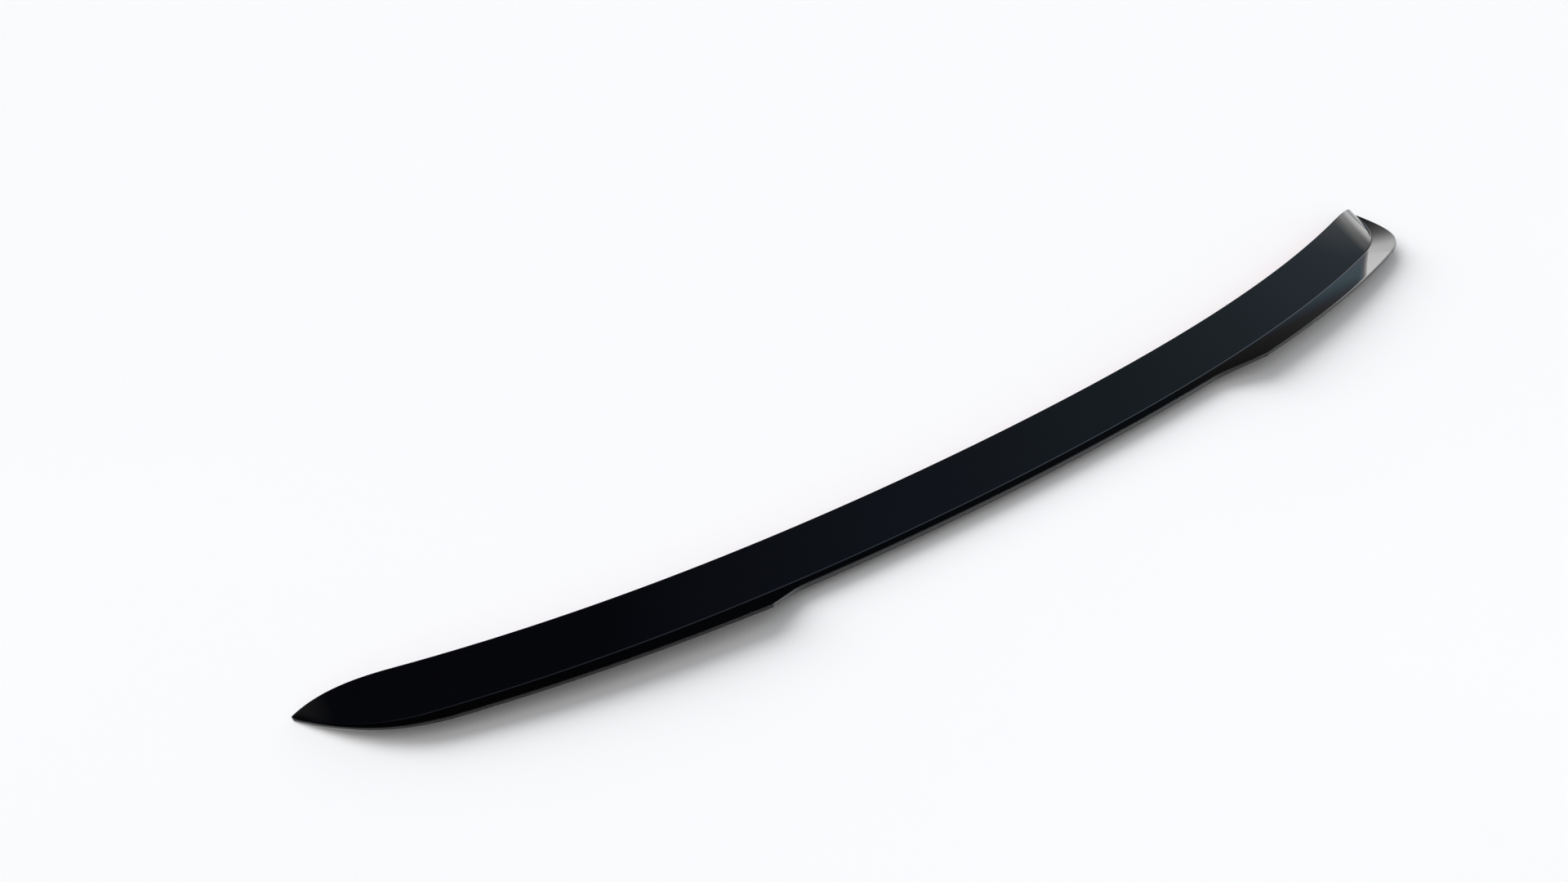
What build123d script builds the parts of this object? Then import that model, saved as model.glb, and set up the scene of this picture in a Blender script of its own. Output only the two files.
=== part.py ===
from build123d import *
import math
import os

# Moulded trailing-edge cap for a car's roof spoiler.  Millimetres, +Z up.
# +X runs along the span to the right, +Y points to the front of the car.
# The cap is a long shallow V in section: the mounting leaf rises to the front,
# the lip rises to the rear, and the bend between them is the lowest line (z = 0).

# Overall sizes
half_span = 620.0            # centre line to the tip
lead_height = 25.7           # top of the leading edge above the bend
lip_height = 25.0            # top of the trailing edge above the bend, on the centre line
lip_height_rise = 3.0        # how the trailing edge's height changes towards the tips
lip_height_fall = 14.0

# Plan positions on the centre line, measured forward from a common datum
lead_middle = 109.0          # leading edge
bend_middle = 71.0           # bend
lip_middle = 31.0            # trailing edge, as if there were no notch
notch_middle = 53.0          # trailing edge inside the notch

# Forward sweep at the tips: a parabola plus a fourth-power curl
lead_sweep = (58.0, 27.0)
bend_sweep = (57.0, 26.0)
lip_sweep = (61.0, 38.0)
notch_sweep = 57.0

# Notch in the trailing edge
notch_half_outer = 292.0     # sharp outer corners
notch_half_inner = 250.0     # rounded inner corners
notch_corner_radius = 16.0
notch_overcut = 40.0         # how far the cutter runs past the trailing edge

# Where the three long edges leave their regular curves and run to the tip
end_length = 70.0
tip_forward = 198.7          # plan position of the tip, same datum as above
tip_width = 5.0              # blunt end of the tip
tip_height = 2.6

# Handles of the run to the tip: length along X when leaving the regular curve,
# and offset from the tip when arriving
lead_leave = 30.0
lead_arrive = Vector(-17.0, -9.0, 17.5)
bend_leave = 34.0
bend_arrive = Vector(-13.5, -30.0, 2.0)
lip_leave = 33.0
lip_arrive = Vector(-17.0, -57.0, 9.0)

# Section
bend_depth = 6.1             # material straight down through the bend
tip_depth = 2.2              # the same at the tip
thinning_power = 1.5         # how gently the thinning towards the tip begins
rim_thickness = 2.4          # trailing edge
rim_skin = 1.2               # share of the rim that is the upper shell
lead_thickness = 2.0         # leading edge
panel_thickness = 1.8        # lower lip panel beside its rebate
rebate_setback = 3.5         # from the bend corner back to the rebate
bond_thickness = 1.0
bond_width = 12.0
panel_gap = 0.2              # clearance between the panel's front edge and the rebate
film = 0.08                  # glue line between any two bonded pieces

# Mounting tape
tape_width = 25.0
tape_thickness = 1.1
tape_inset = 4.0             # from the leading edge
tape_joint = 300.0           # where the centre strip meets the end strips
tape_joint_gap = 1.0
liner_thickness = 0.2
strip_end = 1.5              # station at which tape and bonds stop (2 is the tip)

regular_stations = 32        # from the centre line to the break
end_stations = 12            # from the break to the tip
tip_station = 2.0
closest_step = 0.4           # shortest step between stations, as a share of a regular one


def swept(middle, sweep, x):
    """Plan position of a long edge at a distance x from the centre line."""
    share = x / half_span
    return middle + sweep[0] * share ** 2 + sweep[1] * share ** 4


def swept_slope(sweep, x):
    share = x / half_span
    return (2 * sweep[0] * share + 4 * sweep[1] * share ** 3) / half_span


def lip_top(x):
    share = x / half_span
    return lip_height + lip_height_rise * share ** 2 - lip_height_fall * share ** 4


end_break = half_span - end_length

# The part's origin is the middle of its box in plan
notch_corner_y = swept(lip_middle, lip_sweep, notch_half_outer)
datum = (notch_corner_y + tip_forward) / 2
tip = Vector(half_span, tip_forward - datum, tip_height)

# Full length of the lip in section, which its inner features keep pace with
lip_reach = math.hypot(bend_middle - lip_middle, lip_height)


def bezier(start, leave, arrive, end, t):
    """Cubic curve from one point to another with two handles."""
    a = start * (1 - t) ** 3
    b = leave * (3 * t * (1 - t) ** 2)
    c = arrive * (3 * t ** 2 * (1 - t))
    return a + b + c + end * t ** 3


def regular_point(middle, sweep, height, x):
    return Vector(x, swept(middle, sweep, x) - datum, height)


def run_out(start, slope, leave_length, arrive, end, t):
    """Continue an edge from its break to the tip, tangent to the regular part."""
    leave = start + Vector(leave_length, leave_length * slope, 0)
    return bezier(start, leave, end + arrive, end, t)


def lead_edge(s):
    x = min(s, 1) * end_break
    start = regular_point(lead_middle, lead_sweep, lead_height, x)
    if s <= 1:
        return start
    slope = swept_slope(lead_sweep, x)
    return run_out(start, slope, lead_leave, lead_arrive, tip, s - 1)


def bend_edge(s):
    x = min(s, 1) * end_break
    start = regular_point(bend_middle, bend_sweep, bend_depth, x)
    if s <= 1:
        return start
    slope = swept_slope(bend_sweep, x)
    end = tip + Vector(0, -tip_width / 2, tip_depth - tip_height)
    return run_out(start, slope, bend_leave, bend_arrive, end, s - 1)


def lip_edge(s):
    x = min(s, 1) * end_break
    start = regular_point(lip_middle, lip_sweep, lip_top(x), x)
    if s <= 1:
        return start
    slope = swept_slope(lip_sweep, x)
    end = tip + Vector(0, -tip_width, 0)
    return run_out(start, slope, lip_leave, lip_arrive, end, s - 1)


def fade(s):
    """Thickness share: full along the regular part, thin at the tip."""
    return 1 - (1 - tip_depth / bend_depth) * max(s - 1, 0) ** thinning_power


def square_to(direction, up):
    """Unit vector square to a direction, upward or downward in its vertical plane."""
    away = Vector(0, 0, up) - direction * (direction.Z * up)
    return away.normalized()


def section(s):
    """Named corners of the section at station s (0 centre line, 1 break, 2 tip)."""
    lead = lead_edge(s)
    bend = bend_edge(s)
    lip = lip_edge(s)
    k = fade(s)
    under_lead = square_to((lead - bend).normalized(), -1)
    under_lip = square_to((lip - bend).normalized(), -1)
    p = {"lead_top": lead, "bend_top": bend, "lip_top": lip}
    p["lead_low"] = lead + under_lead * (lead_thickness * k)
    p["bend_low"] = bend - Vector(0, 0, bend_depth * k)
    p["skin_low"] = lip + under_lip * (rim_skin * k)
    p["seam_low"] = lip + under_lip * (rim_skin * k + film)
    p["lip_low"] = lip + under_lip * (rim_thickness * k)

    # Lip: rebate for the lower panel, with the glue channel above it
    lip_line = p["lip_low"] - p["bend_low"]
    narrow = min(1, lip_line.length / lip_reach)
    back = lip_line.normalized()
    up = square_to(back, 1)
    panel_depth = panel_thickness * k
    roof = panel_depth + bond_thickness * k
    p["rebate_low"] = p["bend_low"] + back * (rebate_setback * narrow)
    p["rebate_top"] = p["rebate_low"] + up * roof
    p["panel_low"] = p["rebate_low"] + back * (panel_gap * narrow)
    p["panel_top"] = p["panel_low"] + up * panel_depth
    along = (p["seam_low"] - p["panel_top"]).normalized()
    p["channel_low"] = p["panel_top"] + along * (bond_width * narrow) + up * film
    p["channel_top"] = p["channel_low"] + up * (bond_thickness * k)
    bond_front = p["panel_top"] + up * film
    bond_back = p["channel_low"] - along * film + up * film
    p["bond_front_low"] = bond_front
    p["bond_back_low"] = bond_back
    p["bond_front_top"] = bond_front + up * (bond_thickness * k - 3 * film)
    p["bond_back_top"] = bond_back + up * (bond_thickness * k - 3 * film)

    # Leaf: tape and its liner under the shell, set in from the leading edge
    leaf = (p["bend_low"] - p["lead_low"]).normalized()
    out = square_to(leaf, -1)
    front = p["lead_low"] + leaf * (tape_inset * k)
    rear = front + leaf * (tape_width * k)
    tape_face = film + tape_thickness
    depths = {"tape_in": film, "tape_out": tape_face,
              "liner_in": tape_face + film,
              "liner_out": tape_face + film + liner_thickness}
    for layer, depth in depths.items():
        p[layer + "_front"] = front + out * depth
        p[layer + "_rear"] = rear + out * depth
    return p


def stations(start, end):
    """Stations from start to end, closer together in the curled end."""
    steps = [i / regular_stations for i in range(regular_stations + 1)]
    steps += [1 + (i + 1) / end_stations for i in range(end_stations)]
    gap = closest_step / regular_stations
    inside = [s for s in steps if s - start > gap and end - s > gap]
    return [start] + inside + [end]


def lofted(names, start, end):
    """Solid of the right half whose section has the named corners, between two stations."""
    wires = []
    for s in stations(start, end):
        corners = section(s)
        wires.append(Wire.make_polygon([corners[name] for name in names], close=True))
    return Solid.make_loft(wires)


def left_copy(solid):
    return solid.mirror(Plane.YZ)


def across(names, end):
    """Solid with the named corners from one side to the other, through the centre line."""
    half = lofted(names, 0, end)
    return half + left_copy(half)


def notch_cutter():
    """Prism that takes the wide central notch out of the lip."""
    inner_y = swept(notch_middle, (notch_sweep, 0.0), notch_half_inner) - datum
    outer_y = notch_corner_y - datum
    slope = (notch_half_outer - notch_half_inner) / (outer_y - inner_y)
    rear_y = outer_y - notch_overcut
    rear_half = notch_half_outer + slope * (rear_y - outer_y)
    with BuildSketch(Plane.XY.offset(-lip_height)) as outline:
        with BuildLine():
            ThreePointArc((-notch_half_inner, inner_y), (0, notch_middle - datum),
                          (notch_half_inner, inner_y))
            Polyline((notch_half_inner, inner_y), (rear_half, rear_y),
                     (-rear_half, rear_y), (-notch_half_inner, inner_y))
        make_face()
        inner = outline.vertices().group_by(Axis.Y)[-1]
        fillet(inner, notch_corner_radius)
    return extrude(outline.sketch, 3 * lip_height)


def layer_corners(layer):
    return [layer + "_in_front", layer + "_in_rear", layer + "_out_rear", layer + "_out_front"]


shell_corners = ["lip_top", "bend_top", "lead_top", "lead_low", "bend_low",
                 "rebate_low", "rebate_top", "channel_top", "channel_low", "skin_low"]
panel_corners = ["seam_low", "panel_top", "panel_low", "lip_low"]
bond_corners = ["bond_back_low", "bond_back_top", "bond_front_top", "bond_front_low"]

cutter = notch_cutter()
parts = {}
parts["upper_shell"] = across(shell_corners, tip_station) - cutter
parts["lower_lip_panel"] = across(panel_corners, tip_station) - cutter

strips = {"panel_bond": bond_corners,
          "mounting_tape": layer_corners("tape"),
          "release_liner": layer_corners("liner")}
centre_end = (tape_joint - tape_joint_gap / 2) / end_break
side_start = (tape_joint + tape_joint_gap / 2) / end_break
for name, names in strips.items():
    side = lofted(names, side_start, strip_end)
    parts[name + "_centre"] = across(names, centre_end)
    parts[name + "_right"] = side
    parts[name + "_left"] = left_copy(side)

os.makedirs("parts", exist_ok=True)
for name, solid in parts.items():
    solid.label = name
    export_step(solid, os.path.join("parts", name + ".step"))
    box = solid.bounding_box()
    print(name, len(solid.solids()), solid.is_valid, round(solid.volume, 1), box.min, box.max)
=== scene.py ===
import math

import bmesh
import bpy
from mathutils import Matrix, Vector


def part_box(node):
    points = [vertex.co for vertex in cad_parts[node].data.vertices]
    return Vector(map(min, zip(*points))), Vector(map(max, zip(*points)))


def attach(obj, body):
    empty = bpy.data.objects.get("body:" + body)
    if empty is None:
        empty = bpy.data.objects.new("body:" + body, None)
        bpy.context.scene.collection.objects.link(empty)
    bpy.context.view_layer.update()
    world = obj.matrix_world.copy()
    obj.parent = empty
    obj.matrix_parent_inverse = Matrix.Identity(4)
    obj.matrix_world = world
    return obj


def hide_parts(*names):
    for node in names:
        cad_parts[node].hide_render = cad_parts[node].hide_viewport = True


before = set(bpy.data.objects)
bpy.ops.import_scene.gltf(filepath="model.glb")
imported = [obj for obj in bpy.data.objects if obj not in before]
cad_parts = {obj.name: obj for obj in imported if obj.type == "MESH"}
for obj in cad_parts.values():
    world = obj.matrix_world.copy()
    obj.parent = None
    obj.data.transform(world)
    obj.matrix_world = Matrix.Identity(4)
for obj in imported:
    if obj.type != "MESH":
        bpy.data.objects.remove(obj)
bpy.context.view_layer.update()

# Looks of the trailing-edge cap.  Metres, +Z up, in the frame of the CAD model.
# The shell, the lip panel, the tapes and their liners get finer meshes with rounded
# edges.  The glue beads keep their CAD shape and get a material.

# ---------------------------------------------------------------- sizes of the CAD model
MM = 0.001
HALF_SPAN = 0.5 * (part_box("upper_shell")[1].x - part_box("upper_shell")[0].x)
LEAD_HEIGHT = 25.7 * MM
LIP_HEIGHT = 25.0 * MM
LIP_RISE = 3.0 * MM
LIP_FALL = 14.0 * MM

LEAD_MIDDLE = 109.0 * MM
BEND_MIDDLE = 71.0 * MM
LIP_MIDDLE = 31.0 * MM
NOTCH_MIDDLE = 53.0 * MM
LEAD_SWEEP = (58.0 * MM, 27.0 * MM)
BEND_SWEEP = (57.0 * MM, 26.0 * MM)
LIP_SWEEP = (61.0 * MM, 38.0 * MM)
NOTCH_SWEEP = (57.0 * MM, 0.0)

NOTCH_OUTER = 292.0 * MM
NOTCH_INNER = 250.0 * MM
NOTCH_RADIUS = 16.0 * MM

END_BREAK = 550.0 * MM
TIP_FORWARD = 198.7 * MM
TIP_WIDTH = 5.0 * MM
TIP_HEIGHT = 2.6 * MM
LEAD_LEAVE = 30.0 * MM
LEAD_ARRIVE = Vector((-17.0, -9.0, 17.5)) * MM
BEND_LEAVE = 34.0 * MM
BEND_ARRIVE = Vector((-13.5, -30.0, 2.0)) * MM
LIP_LEAVE = 33.0 * MM
LIP_ARRIVE = Vector((-17.0, -57.0, 9.0)) * MM

BEND_DEPTH = 6.1 * MM
TIP_DEPTH = 2.2 * MM
THINNING_POWER = 1.5
RIM_THICKNESS = 2.4 * MM
RIM_SKIN = 1.2 * MM
LEAD_THICKNESS = 2.0 * MM
PANEL_THICKNESS = 1.8 * MM
REBATE_SETBACK = 3.5 * MM
PANEL_GAP = 0.2 * MM
FILM = 0.08 * MM

TAPE_WIDTH = 25.0 * MM
TAPE_THICKNESS = 1.1 * MM
TAPE_INSET = 4.0 * MM
TAPE_JOINT = 300.0 * MM
TAPE_JOINT_GAP = 1.0 * MM
LINER_THICKNESS = 0.2 * MM
TAPE_END = 1.5                  # station where the strips stop; 1 is the break, 2 the tip

# ---------------------------------------------------------------- sizes of the finish

# Rounding of the shell's edges: how far each reaches along the sides beside it
RIM_ROUND = 0.5 * MM
CREASE_ROUND = 1.1 * MM         # along the bend, on top
LEAD_TOP_ROUND = 0.35 * MM
LEAD_LOW_ROUND = 0.6 * MM
KEEL_ROUND = 1.6 * MM           # along the bend, underneath
REBATE_ROUND = 0.25 * MM
# The same for the panel's edges
SEAM_ROUND = 0.12 * MM
PANEL_FRONT_ROUND = 0.25 * MM
PANEL_RIM_ROUND = 0.55 * MM

LEAF_HOLLOW = 0.5 * MM          # how far the leaf's top dips between its edges
STRIP_ROUND_SHARE = 0.3         # rounding of a strip's edges over its thickness
FOAM_SETBACK = 0.1 * MM         # how far the foam stands back from its liner's edge
NOTCH_SOFTNESS = 0.10           # blend of the notch's inner corner over its radius
LONGEST_ROUND = 0.45            # a rounded corner's reach over the side beside it

ARC_STEPS = 5                   # steps round a rounded corner
STRIP_ARC_STEPS = 3
SPAN_STEPS = 110                # centre line to the break
NOTCH_STEPS = 90                # extra stations about the notch's corners
NOTCH_FINE_INSIDE = 80 * MM     # they start this far inside the outer corner
NOTCH_FINE_OUTSIDE = 10 * MM    # and stop this far past it
END_STEPS = 60                  # break to tip
STRIP_STEPS = 160
STATION_DIGITS = 5              # stations closer than this rounding are one

# ---------------------------------------------------------------- long edges


def swept(middle, sweep, x):
    share = x / HALF_SPAN
    return middle + sweep[0] * share ** 2 + sweep[1] * share ** 4


def swept_slope(sweep, x):
    share = x / HALF_SPAN
    return (2 * sweep[0] * share + 4 * sweep[1] * share ** 3) / HALF_SPAN


def lip_top(x):
    share = x / HALF_SPAN
    return LIP_HEIGHT + LIP_RISE * share ** 2 - LIP_FALL * share ** 4


NOTCH_CORNER_Y = swept(LIP_MIDDLE, LIP_SWEEP, NOTCH_OUTER)
DATUM = (NOTCH_CORNER_Y + TIP_FORWARD) / 2
TIP = Vector((HALF_SPAN, TIP_FORWARD - DATUM, TIP_HEIGHT))
LIP_REACH = math.hypot(BEND_MIDDLE - LIP_MIDDLE, LIP_HEIGHT)


def bezier(start, leave, arrive, end, t):
    a = start * (1 - t) ** 3
    b = leave * (3 * t * (1 - t) ** 2)
    c = arrive * (3 * t ** 2 * (1 - t))
    return a + b + c + end * t ** 3


def long_edge(s, middle, sweep, height, leave, arrive, end):
    """Point of a long edge at station s: 0 centre line, 1 break, 2 tip."""
    x = min(s, 1) * END_BREAK
    start = Vector((x, swept(middle, sweep, x) - DATUM, height))
    if s <= 1:
        return start
    handle = start + Vector((leave, leave * swept_slope(sweep, x), 0))
    return bezier(start, handle, end + arrive, end, s - 1)


def edges(s):
    bend_end = TIP + Vector((0, -TIP_WIDTH / 2, TIP_DEPTH - TIP_HEIGHT))
    lip_end = TIP + Vector((0, -TIP_WIDTH, 0))
    lip_height = lip_top(min(s, 1) * END_BREAK)
    lead = long_edge(s, LEAD_MIDDLE, LEAD_SWEEP, LEAD_HEIGHT, LEAD_LEAVE, LEAD_ARRIVE, TIP)
    bend = long_edge(s, BEND_MIDDLE, BEND_SWEEP, BEND_DEPTH, BEND_LEAVE, BEND_ARRIVE, bend_end)
    lip = long_edge(s, LIP_MIDDLE, LIP_SWEEP, lip_height, LIP_LEAVE, LIP_ARRIVE, lip_end)
    return lead, bend, lip


def fade(s):
    return 1 - (1 - TIP_DEPTH / BEND_DEPTH) * max(s - 1, 0) ** THINNING_POWER


def square_to(direction, up):
    away = Vector((0, 0, up)) - direction * (direction.z * up)
    return away.normalized()


def section(s):
    """Named corners of the section, as in the CAD model."""
    lead, bend, lip = edges(s)
    k = fade(s)
    under_lead = square_to((lead - bend).normalized(), -1)
    under_lip = square_to((lip - bend).normalized(), -1)
    p = {"lead_top": lead, "bend_top": bend, "lip_top": lip}
    p["lead_low"] = lead + under_lead * (LEAD_THICKNESS * k)
    p["bend_low"] = bend - Vector((0, 0, BEND_DEPTH * k))
    p["skin_low"] = lip + under_lip * (RIM_SKIN * k)
    p["seam_low"] = lip + under_lip * (RIM_SKIN * k + FILM)
    p["lip_low"] = lip + under_lip * (RIM_THICKNESS * k)
    lip_line = p["lip_low"] - p["bend_low"]
    narrow = min(1, lip_line.length / LIP_REACH)
    back = lip_line.normalized()
    up = square_to(back, 1)
    p["rebate_low"] = p["bend_low"] + back * (REBATE_SETBACK * narrow)
    p["rebate_top"] = p["rebate_low"] + up * (PANEL_THICKNESS * k)
    p["panel_low"] = p["rebate_low"] + back * (PANEL_GAP * narrow)
    p["panel_top"] = p["panel_low"] + up * (PANEL_THICKNESS * k)
    leaf = (p["bend_low"] - p["lead_low"]).normalized()
    p["leaf"] = leaf
    p["out"] = square_to(leaf, -1)
    return p


# ---------------------------------------------------------------- notch


def notch_line(x):
    """Plan position of the trailing edge at x, with the notch's rounded inner corners."""
    x = abs(x)
    inner_y = swept(NOTCH_MIDDLE, NOTCH_SWEEP, NOTCH_INNER)
    if x >= NOTCH_OUTER:
        return None
    wall = (NOTCH_CORNER_Y - inner_y) / (NOTCH_OUTER - NOTCH_INNER)
    floor = swept(NOTCH_MIDDLE, NOTCH_SWEEP, x)
    side = inner_y + wall * (x - NOTCH_INNER)
    # A smooth minimum of the two lines rounds the corner where they cross
    soft = NOTCH_RADIUS * NOTCH_SOFTNESS
    return -soft * math.log(math.exp(-floor / soft) + math.exp(-side / soft)) - DATUM


def cut_at(start, end, y):
    """Point of the line from start to end whose plan position is y."""
    t = (y - start.y) / (end.y - start.y)
    return start + (end - start) * min(max(t, 0), 1)


# ---------------------------------------------------------------- mesh helpers


def rounded(points, reaches, arc=ARC_STEPS):
    """Closed outline with each corner rounded; a corner with no reach stays one point."""
    out = []
    count = len(points)
    for i, (corner, reach) in enumerate(zip(points, reaches)):
        if reach == 0:
            out.append(corner)
            continue
        before = points[i - 1] - corner
        after = points[(i + 1) % count] - corner
        reach_before = min(reach, LONGEST_ROUND * before.length)
        reach_after = min(reach, LONGEST_ROUND * after.length)
        a = corner + before.normalized() * reach_before
        b = corner + after.normalized() * reach_after
        for j in range(arc + 1):
            t = j / arc
            out.append(a * (1 - t) ** 2 + corner * (2 * t * (1 - t)) + b * t ** 2)
    return out


def between(a, b, count, sag=0.0, away=None):
    """Points strictly between a and b, closer together near both ends, bowed by sag."""
    out = []
    for i in range(1, count + 1):
        t = 0.5 - 0.5 * math.cos(math.pi * i / (count + 1))
        point = a.lerp(b, t)
        if away is not None:
            point = point + away * (sag * 4 * t * (1 - t))
        out.append(point)
    return out


def skin(name, rows):
    """Closed tube of quads through equal rows of points, with both ends filled."""
    mesh = bpy.data.meshes.new(name)
    bm = bmesh.new()
    grid = [[bm.verts.new(p) for p in row] for row in rows]
    width = len(rows[0])
    for a, b in zip(grid, grid[1:]):
        for i in range(width):
            j = (i + 1) % width
            bm.faces.new((a[i], a[j], b[j], b[i]))
    bm.faces.new(grid[0])
    bm.faces.new(list(reversed(grid[-1])))
    bmesh.ops.triangulate(bm, faces=[f for f in bm.faces if len(f.verts) > 4])
    bmesh.ops.recalc_face_normals(bm, faces=bm.faces)
    for face in bm.faces:
        face.smooth = True
    bm.to_mesh(mesh)
    bm.free()
    obj = bpy.data.objects.new(name, mesh)
    bpy.context.scene.collection.objects.link(obj)
    return obj


def stations():
    """Stations along the right half, denser where the notch turns and in the curled end."""
    first = (NOTCH_OUTER - NOTCH_FINE_INSIDE) / END_BREAK
    last = (NOTCH_OUTER + NOTCH_FINE_OUTSIDE) / END_BREAK
    marks = [NOTCH_OUTER / END_BREAK]
    marks += [i / SPAN_STEPS for i in range(SPAN_STEPS + 1)]
    marks += [first + (last - first) * i / NOTCH_STEPS for i in range(NOTCH_STEPS + 1)]
    marks += [1 + (i + 1) / END_STEPS for i in range(END_STEPS)]
    return sorted({round(mark, STATION_DIGITS) for mark in marks})


def full_span(right):
    """The same stations on both sides; those of the left half are negative."""
    return [-s for s in reversed(right) if s > 0] + right


def mirror(point, side):
    """The point itself for side 1, its left-hand twin for side -1."""
    return Vector((point.x * side, point.y, point.z))


def shell_row(s):
    """Outline of the upper shell at a station, with its edges rounded."""
    side = -1 if s < 0 else 1
    s = abs(s)
    p = section(s)
    k = fade(s)
    trail_top, trail_low = p["lip_top"], p["skin_low"]
    cut = notch_line(p["lip_top"].x) if s < 1 else None
    if cut is not None:
        trail_top = cut_at(p["lip_top"], p["bend_top"], cut)
        trail_low = cut_at(p["skin_low"], p["rebate_top"], cut)
    leaf_up = square_to((p["lead_top"] - p["bend_top"]).normalized(), 1)
    corners = [trail_top, p["bend_top"], p["lead_top"], p["lead_low"], p["bend_low"],
               p["rebate_low"], p["rebate_top"], trail_low]
    reaches = [RIM_ROUND, CREASE_ROUND, LEAD_TOP_ROUND, LEAD_LOW_ROUND, KEEL_ROUND,
               REBATE_ROUND, 0, 0]
    ring = rounded(corners, [reach * k for reach in reaches])
    # The first six corners are arcs of n points.  After each of the first five come
    # some points on the flat: how many, how far they bow, and which way.
    n = ARC_STEPS + 1
    flats = {
        n: (6, 0.0, None),
        2 * n: (10, -LEAF_HOLLOW * k, leaf_up),
        3 * n: (1, 0.0, None),
        4 * n: (8, 0.0, None),
        5 * n: (1, 0.0, None),
    }
    out = []
    for i, point in enumerate(ring):
        out.append(point)
        if i + 1 in flats:
            count, sag, away = flats[i + 1]
            out += between(point, ring[i + 1], count, sag, away)
    return [mirror(q, side) for q in out]


def panel_row(s):
    """Outline of the lower lip panel at a station."""
    side = -1 if s < 0 else 1
    s = abs(s)
    p = section(s)
    k = fade(s)
    trail_top, trail_low = p["seam_low"], p["lip_low"]
    cut = notch_line(p["lip_top"].x) if s < 1 else None
    if cut is not None:
        trail_top = cut_at(p["seam_low"], p["panel_top"], cut)
        trail_low = cut_at(p["lip_low"], p["panel_low"], cut)
    corners = [trail_top, p["panel_top"], p["panel_low"], trail_low]
    ring = rounded(corners, [SEAM_ROUND * k, 0, PANEL_FRONT_ROUND * k, PANEL_RIM_ROUND * k])
    # An arc, one plain corner and two more arcs; the flat underside lies between those two
    flat_start = 2 * (ARC_STEPS + 1)
    out = []
    for i, point in enumerate(ring):
        out.append(point)
        if i == flat_start:
            out += between(point, ring[i + 1], 8)
    return [mirror(q, side) for q in out]


def strip_row(s, inner, outer, narrower=0.0):
    """Outline of a tape or liner at a station, between two depths under the leaf."""
    side = -1 if s < 0 else 1
    s = abs(s)
    p = section(s)
    k = fade(s)
    front = p["lead_low"] + p["leaf"] * (TAPE_INSET * k + narrower)
    rear = p["lead_low"] + p["leaf"] * ((TAPE_INSET + TAPE_WIDTH) * k - narrower)
    depth = p["out"]
    corners = [front + depth * inner, rear + depth * inner,
               rear + depth * outer, front + depth * outer]
    reach = STRIP_ROUND_SHARE * (outer - inner)
    ring = rounded(corners, [reach] * 4, arc=STRIP_ARC_STEPS)
    n = STRIP_ARC_STEPS + 1
    ends_before_flats = (n - 1, 3 * n - 1)
    out = []
    for i, point in enumerate(ring):
        out.append(point)
        if i in ends_before_flats:
            out += between(point, ring[i + 1], 6)
    return [mirror(q, side) for q in out]


# ---------------------------------------------------------------- materials


def node_material(name):
    """A new material with its tree, its Principled shader and its coordinates."""
    material = bpy.data.materials.new(name)
    material.use_nodes = True
    tree = material.node_tree
    shader = tree.nodes["Principled BSDF"]
    coords = tree.nodes.new("ShaderNodeTexCoord")
    return material, tree, shader, coords


def noise(tree, coords, scale, detail=3.0, roughness=0.5):
    node = tree.nodes.new("ShaderNodeTexNoise")
    node.inputs["Scale"].default_value = scale
    node.inputs["Detail"].default_value = detail
    node.inputs["Roughness"].default_value = roughness
    tree.links.new(coords.outputs["Object"], node.inputs["Vector"])
    return node


def ramp(tree, source, stops):
    """Colour ramp with one element for each (position, colour) stop."""
    node = tree.nodes.new("ShaderNodeValToRGB")
    while len(node.color_ramp.elements) < len(stops):
        node.color_ramp.elements.new(0.5)
    for element, (position, colour) in zip(node.color_ramp.elements, stops):
        element.position = position
        element.color = colour
    tree.links.new(source, node.inputs["Fac"])
    return node


def grey(value):
    return (value, value, value, 1)


def bump(tree, shader, height, strength, distance):
    node = tree.nodes.new("ShaderNodeBump")
    node.inputs["Strength"].default_value = strength
    node.inputs["Distance"].default_value = distance
    tree.links.new(height, node.inputs["Height"])
    tree.links.new(node.outputs["Normal"], shader.inputs["Normal"])


def gloss_black():
    """Piano-black moulded plastic: faint orange peel and slight haze."""
    material, tree, shader, coords = node_material("gloss_black")
    cloud = noise(tree, coords, scale=14.0, detail=4.0)
    colour = ramp(tree, cloud.outputs["Fac"],
                  [(0.3, (0.0006, 0.0006, 0.0007, 1)), (0.7, (0.0010, 0.0010, 0.0011, 1))])
    tree.links.new(colour.outputs["Color"], shader.inputs["Base Color"])
    haze = noise(tree, coords, scale=60.0, detail=5.0, roughness=0.6)
    rough = ramp(tree, haze.outputs["Fac"], [(0.35, grey(0.025)), (0.75, grey(0.05))])
    tree.links.new(rough.outputs["Color"], shader.inputs["Roughness"])
    shader.inputs["IOR"].default_value = 1.5
    peel = noise(tree, coords, scale=420.0, detail=2.0)
    bump(tree, shader, peel.outputs["Fac"], strength=0.012, distance=0.0004)
    return material


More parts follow.
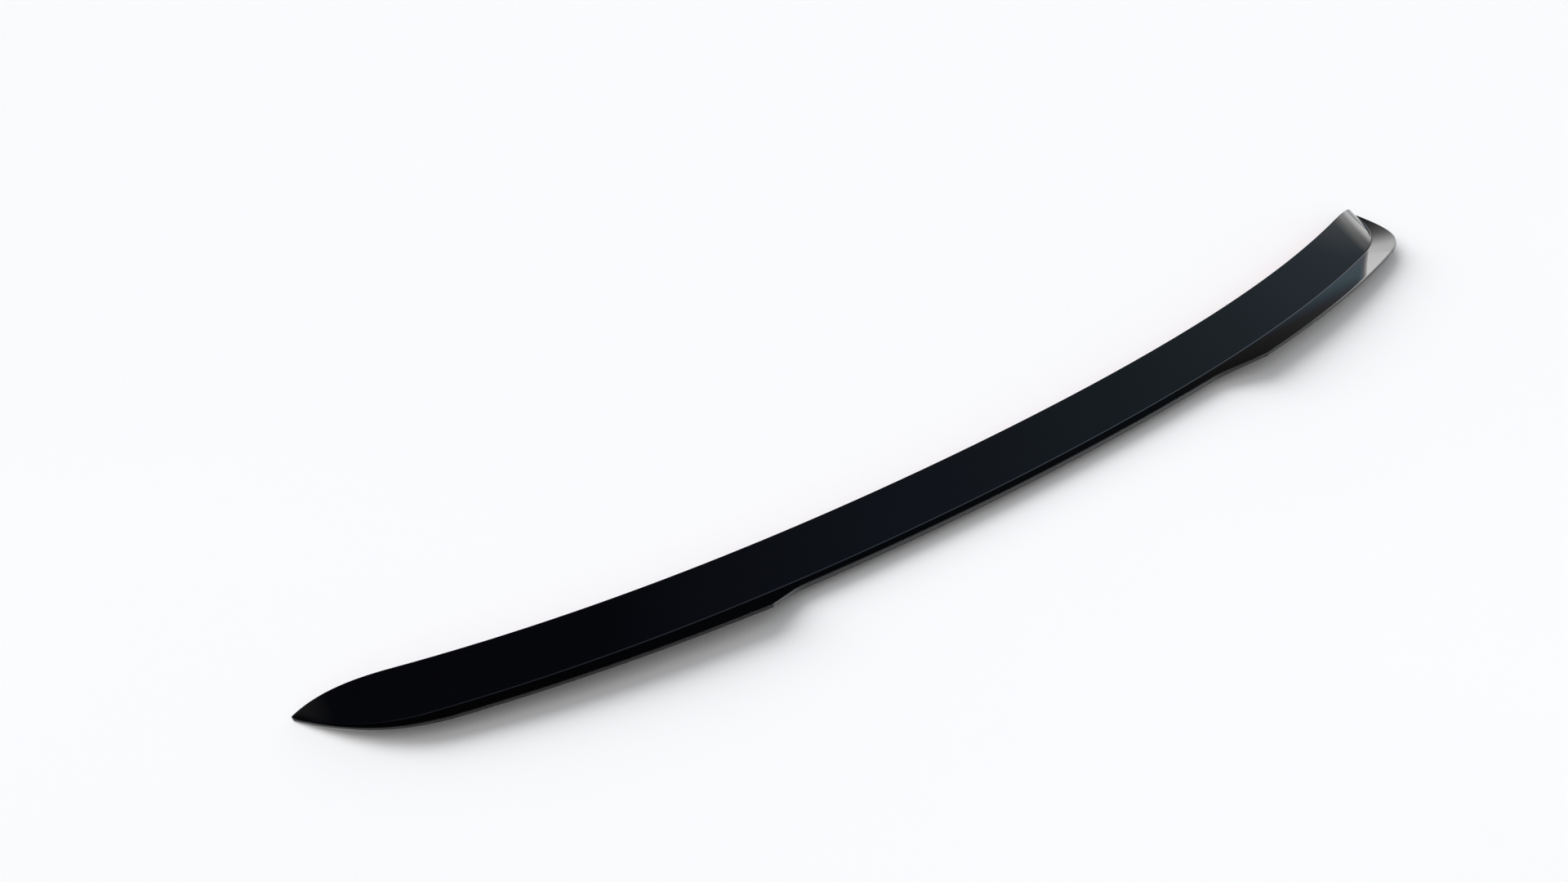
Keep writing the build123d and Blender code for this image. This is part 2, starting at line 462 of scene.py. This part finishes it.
def satin_black():
    """Underside of the lip: the same plastic straight from the tool, fine grain."""
    material, tree, shader, coords = node_material("satin_black")
    cloud = noise(tree, coords, scale=9.0, detail=4.0)
    colour = ramp(tree, cloud.outputs["Fac"],
                  [(0.3, (0.0055, 0.0060, 0.0072, 1)), (0.7, (0.0085, 0.0092, 0.0108, 1))])
    tree.links.new(colour.outputs["Color"], shader.inputs["Base Color"])
    haze = noise(tree, coords, scale=90.0, detail=5.0, roughness=0.6)
    rough = ramp(tree, haze.outputs["Fac"], [(0.35, grey(0.24)), (0.75, grey(0.34))])
    tree.links.new(rough.outputs["Color"], shader.inputs["Roughness"])
    shader.inputs["IOR"].default_value = 1.5
    grain = noise(tree, coords, scale=1600.0, detail=2.0)
    bump(tree, shader, grain.outputs["Fac"], strength=0.10, distance=0.0002)
    return material


def bare_plastic():
    """Underside of the leaf: unpolished grey-black plastic with a spark-eroded grain."""
    material, tree, shader, coords = node_material("bare_plastic")
    cloud = noise(tree, coords, scale=11.0, detail=4.0)
    colour = ramp(tree, cloud.outputs["Fac"],
                  [(0.3, (0.030, 0.033, 0.032, 1)), (0.7, (0.044, 0.048, 0.046, 1))])
    tree.links.new(colour.outputs["Color"], shader.inputs["Base Color"])
    haze = noise(tree, coords, scale=120.0, detail=5.0, roughness=0.6)
    rough = ramp(tree, haze.outputs["Fac"], [(0.35, grey(0.50)), (0.75, grey(0.64))])
    tree.links.new(rough.outputs["Color"], shader.inputs["Roughness"])
    grain = noise(tree, coords, scale=1900.0, detail=2.0)
    bump(tree, shader, grain.outputs["Fac"], strength=0.25, distance=0.0002)
    return material


def foam():
    """Closed-cell acrylic foam of the double-sided tape."""
    material, tree, shader, coords = node_material("acrylic_foam")
    cells = tree.nodes.new("ShaderNodeTexVoronoi")
    cells.inputs["Scale"].default_value = 2600.0
    tree.links.new(coords.outputs["Object"], cells.inputs["Vector"])
    colour = ramp(tree, cells.outputs["Distance"],
                  [(0.1, (0.020, 0.020, 0.022, 1)), (0.6, (0.050, 0.050, 0.054, 1))])
    tree.links.new(colour.outputs["Color"], shader.inputs["Base Color"])
    rough = ramp(tree, cells.outputs["Distance"], [(0.1, grey(0.75)), (0.6, grey(0.9))])
    tree.links.new(rough.outputs["Color"], shader.inputs["Roughness"])
    bump(tree, shader, cells.outputs["Distance"], strength=0.5, distance=0.0002)
    return material


def liner_red():
    """Polyethylene release liner, with a fine diagonal emboss."""
    material, tree, shader, coords = node_material("red_liner")
    cloud = noise(tree, coords, scale=25.0, detail=4.0)
    colour = ramp(tree, cloud.outputs["Fac"],
                  [(0.3, (0.68, 0.035, 0.045, 1)), (0.7, (0.82, 0.060, 0.070, 1))])
    tree.links.new(colour.outputs["Color"], shader.inputs["Base Color"])
    wave = tree.nodes.new("ShaderNodeTexWave")
    wave.bands_direction = "DIAGONAL"
    wave.inputs["Scale"].default_value = 260.0
    wave.inputs["Distortion"].default_value = 0.4
    tree.links.new(coords.outputs["Object"], wave.inputs["Vector"])
    rough = ramp(tree, wave.outputs["Fac"], [(0.2, grey(0.34)), (0.8, grey(0.46))])
    tree.links.new(rough.outputs["Color"], shader.inputs["Roughness"])
    bump(tree, shader, wave.outputs["Fac"], strength=0.15, distance=0.0001)
    return material


def adhesive():
    """Dark structural glue of the beads between shell and panel."""
    material, tree, shader, coords = node_material("glue_bead")
    lumps = noise(tree, coords, scale=300.0, detail=3.0)
    colour = ramp(tree, lumps.outputs["Fac"],
                  [(0.3, (0.030, 0.030, 0.034, 1)), (0.7, (0.055, 0.055, 0.060, 1))])
    tree.links.new(colour.outputs["Color"], shader.inputs["Base Color"])
    rough = ramp(tree, lumps.outputs["Fac"], [(0.3, grey(0.45)), (0.7, grey(0.65))])
    tree.links.new(rough.outputs["Color"], shader.inputs["Roughness"])
    bump(tree, shader, lumps.outputs["Fac"], strength=0.3, distance=0.0003)
    return material


GLOSS = gloss_black()
SATIN = satin_black()
BARE = bare_plastic()
FOAM = foam()
LINER = liner_red()
GLUE = adhesive()

# ---------------------------------------------------------------- pieces

LOOKS_DOWN = -0.25      # upward share of the normal, below which a face is underside


def place(obj, node, material):
    """Put a piece in for a CAD node, with its finish."""
    obj.data.materials.append(material)
    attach(obj, "root")
    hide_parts(node)


def finish_underside(obj, material):
    """Give the faces that look down a second material."""
    obj.data.materials.append(material)
    for face in obj.data.polygons:
        if face.normal.z < LOOKS_DOWN:
            face.material_index = 1


def build_shell():
    obj = skin("shell_gloss", [shell_row(s) for s in full_span(stations())])
    place(obj, "upper_shell", GLOSS)
    finish_underside(obj, BARE)


def build_panel():
    obj = skin("lip_panel_satin", [panel_row(s) for s in full_span(stations())])
    place(obj, "lower_lip_panel", SATIN)


def strip_spans():
    """First and last station of each length of tape."""
    cut = TAPE_JOINT / END_BREAK
    half_gap = TAPE_JOINT_GAP / 2 / END_BREAK
    return {"left": (-TAPE_END, -cut - half_gap),
            "centre": (-cut + half_gap, cut - half_gap),
            "right": (cut + half_gap, TAPE_END)}


def build_strips():
    foam_in, foam_out = FILM, FILM + TAPE_THICKNESS
    liner_in, liner_out = foam_out + FILM, foam_out + FILM + LINER_THICKNESS
    for span, (start, end) in strip_spans().items():
        line = [start + (end - start) * i / STRIP_STEPS for i in range(STRIP_STEPS + 1)]
        tape = skin("foam_strip_" + span,
                    [strip_row(s, foam_in, foam_out, FOAM_SETBACK) for s in line])
        place(tape, "mounting_tape_" + span, FOAM)
        liner = skin("liner_strip_" + span,
                     [strip_row(s, liner_in, liner_out) for s in line])
        place(liner, "release_liner_" + span, LINER)


def finish_beads():
    """The glue beads keep their CAD meshes."""
    for span in strip_spans():
        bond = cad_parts["panel_bond_" + span]
        bond.data.materials.clear()
        bond.data.materials.append(GLUE)


build_shell()
build_panel()
build_strips()
finish_beads()

# ---------------------------------------------------------------- stage

FLOOR_HALF = 30.0

CAMERA_AZIMUTH = -43.1          # degrees
CAMERA_ELEVATION = 29.6
CAMERA_AIM = Vector((-0.088, 0.130, 0.0))
CAMERA_DISTANCE = 2.363
CAMERA_LENS = 64.7              # millimetres
SENSOR_WIDTH = 36.0

# Sockets of a Mix node that mixes colours
MIX_A, MIX_B, MIX_RESULT = 6, 7, 2


def build_floor():
    """Pale floor under the part."""
    bm = bmesh.new()
    size = FLOOR_HALF
    corners = [(-size, -size, 0), (size, -size, 0), (size, size, 0), (-size, size, 0)]
    bm.faces.new([bm.verts.new(c) for c in corners])
    mesh = bpy.data.meshes.new("floor")
    bm.to_mesh(mesh)
    bm.free()
    floor = bpy.data.objects.new("floor", mesh)
    bpy.context.scene.collection.objects.link(floor)
    material, tree, shader, coords = node_material("pale_floor")
    tint = noise(tree, coords, scale=1.0)
    colour = ramp(tree, tint.outputs["Fac"], [(0.3, grey(0.90)), (0.7, grey(0.92))])
    tree.links.new(colour.outputs["Color"], shader.inputs["Base Color"])
    shader.inputs["Roughness"].default_value = 0.7
    # The floor is clear from below, so that the underside can be looked at
    geometry = tree.nodes.new("ShaderNodeNewGeometry")
    clear = tree.nodes.new("ShaderNodeBsdfTransparent")
    sides = tree.nodes.new("ShaderNodeMixShader")
    tree.links.new(geometry.outputs["Backfacing"], sides.inputs["Fac"])
    tree.links.new(shader.outputs["BSDF"], sides.inputs[1])
    tree.links.new(clear.outputs["BSDF"], sides.inputs[2])
    tree.links.new(sides.outputs["Shader"], tree.nodes["Material Output"].inputs["Surface"])
    mesh.materials.append(material)


def sun(name, toward, angle, strength):
    """Soft light from the direction toward, angle degrees wide, hidden from reflections."""
    data = bpy.data.lights.new(name, "SUN")
    data.angle = math.radians(angle)
    data.energy = strength
    light = bpy.data.objects.new(name, data)
    light.rotation_euler = Vector(toward).to_track_quat("Z", "Y").to_euler()
    light.visible_glossy = False
    bpy.context.scene.collection.objects.link(light)


def shifted(tree, source):
    """Brings a direction's component from -1..1 to 0..1 for a ramp."""
    node = tree.nodes.new("ShaderNodeMath")
    node.operation = "MULTIPLY_ADD"
    node.inputs[1].default_value = 0.5
    node.inputs[2].default_value = 0.5
    tree.links.new(source, node.inputs[0])
    return node


def half(value):
    """Place on such a ramp of a component from -1 to 1."""
    return 0.5 + 0.5 * value


def mixed(tree, kind, first, second):
    """Two colours put together by a blend type, at full strength."""
    node = tree.nodes.new("ShaderNodeMix")
    node.data_type = "RGBA"
    node.blend_type = kind
    node.inputs["Factor"].default_value = 1.0
    tree.links.new(first, node.inputs[MIX_A])
    tree.links.new(second, node.inputs[MIX_B])
    return node.outputs[MIX_RESULT]


def build_world():
    """Dark ceiling that brightens to the right, over a white horizon all round."""
    world = bpy.data.worlds.new("studio")
    world.use_nodes = True
    tree = world.node_tree
    coords = tree.nodes.new("ShaderNodeTexCoord")
    split = tree.nodes.new("ShaderNodeSeparateXYZ")
    tree.links.new(coords.outputs["Generated"], split.inputs["Vector"])
    x, y, z = (shifted(tree, split.outputs[axis]).outputs[0] for axis in "XYZ")
    along = ramp(tree, x, [
        (half(-1.0), grey(0.30)), (half(-0.5), (0.03, 0.035, 0.06, 1)),
        (half(0.40), (0.03, 0.035, 0.06, 1)), (half(0.60), (0.10, 0.13, 0.19, 1)),
        (half(0.76), (0.17, 0.24, 0.29, 1)), (half(0.86), (0.26, 0.34, 0.41, 1)),
        (half(0.93), grey(1.1)), (half(1.0), grey(3.0))])
    window = ramp(tree, y, [
        (half(-0.25), grey(1.0)), (half(0.12), grey(1.0)), (half(0.24), grey(0.30)),
        (half(0.43), grey(0.30)), (half(0.52), grey(3.4)), (half(0.64), grey(3.4)),
        (half(0.75), grey(1.0))])
    front = ramp(tree, y, [
        (half(-1.0), grey(0.45)), (half(-0.6), grey(0.40)), (half(-0.25), grey(0.01)),
        (half(0.80), grey(0.01)), (half(1.0), grey(0.5))])
    horizon = ramp(tree, z, [
        (half(-0.2), grey(1.0)), (half(0.16), grey(1.0)), (half(0.30), grey(0.42)),
        (half(0.45), grey(0.18)), (half(0.60), grey(0.0))])
    rightward = ramp(tree, x, [(half(0.35), grey(0.9)), (half(0.65), grey(2.0))])
    forward = ramp(tree, y, [(half(-0.35), grey(0.30)), (half(0.2), grey(1.0))])
    low = mixed(tree, "MULTIPLY", horizon.outputs["Color"], rightward.outputs["Color"])
    low = mixed(tree, "MULTIPLY", low, forward.outputs["Color"])
    sky = mixed(tree, "MULTIPLY", along.outputs["Color"], window.outputs["Color"])
    sky = mixed(tree, "LIGHTEN", sky, front.outputs["Color"])
    sky = mixed(tree, "LIGHTEN", sky, low)
    background = tree.nodes["Background"]
    tree.links.new(sky, background.inputs["Color"])
    background.inputs["Strength"].default_value = 1.0
    bpy.context.scene.world = world


def build_camera():
    """Camera that looks at CAMERA_AIM from behind and above, to the left."""
    data = bpy.data.cameras.new("camera")
    data.sensor_width = SENSOR_WIDTH
    data.lens = CAMERA_LENS
    data.clip_end = 50
    camera = bpy.data.objects.new("camera", data)
    azimuth, elevation = math.radians(CAMERA_AZIMUTH), math.radians(CAMERA_ELEVATION)
    back = Vector((math.sin(azimuth) * math.cos(elevation),
                   -math.cos(azimuth) * math.cos(elevation), math.sin(elevation)))
    camera.location = CAMERA_AIM + back * CAMERA_DISTANCE
    camera.rotation_euler = (-back).to_track_quat("-Z", "Y").to_euler()
    bpy.context.scene.collection.objects.link(camera)
    bpy.context.scene.camera = camera


build_floor()
build_world()
build_camera()
sun("key", toward=(-0.25, 0.65, 0.85), angle=75, strength=2.45)
sun("fill", toward=(-0.6, -0.5, 0.6), angle=60, strength=1.25)
bpy.context.scene.view_settings.view_transform = "Standard"
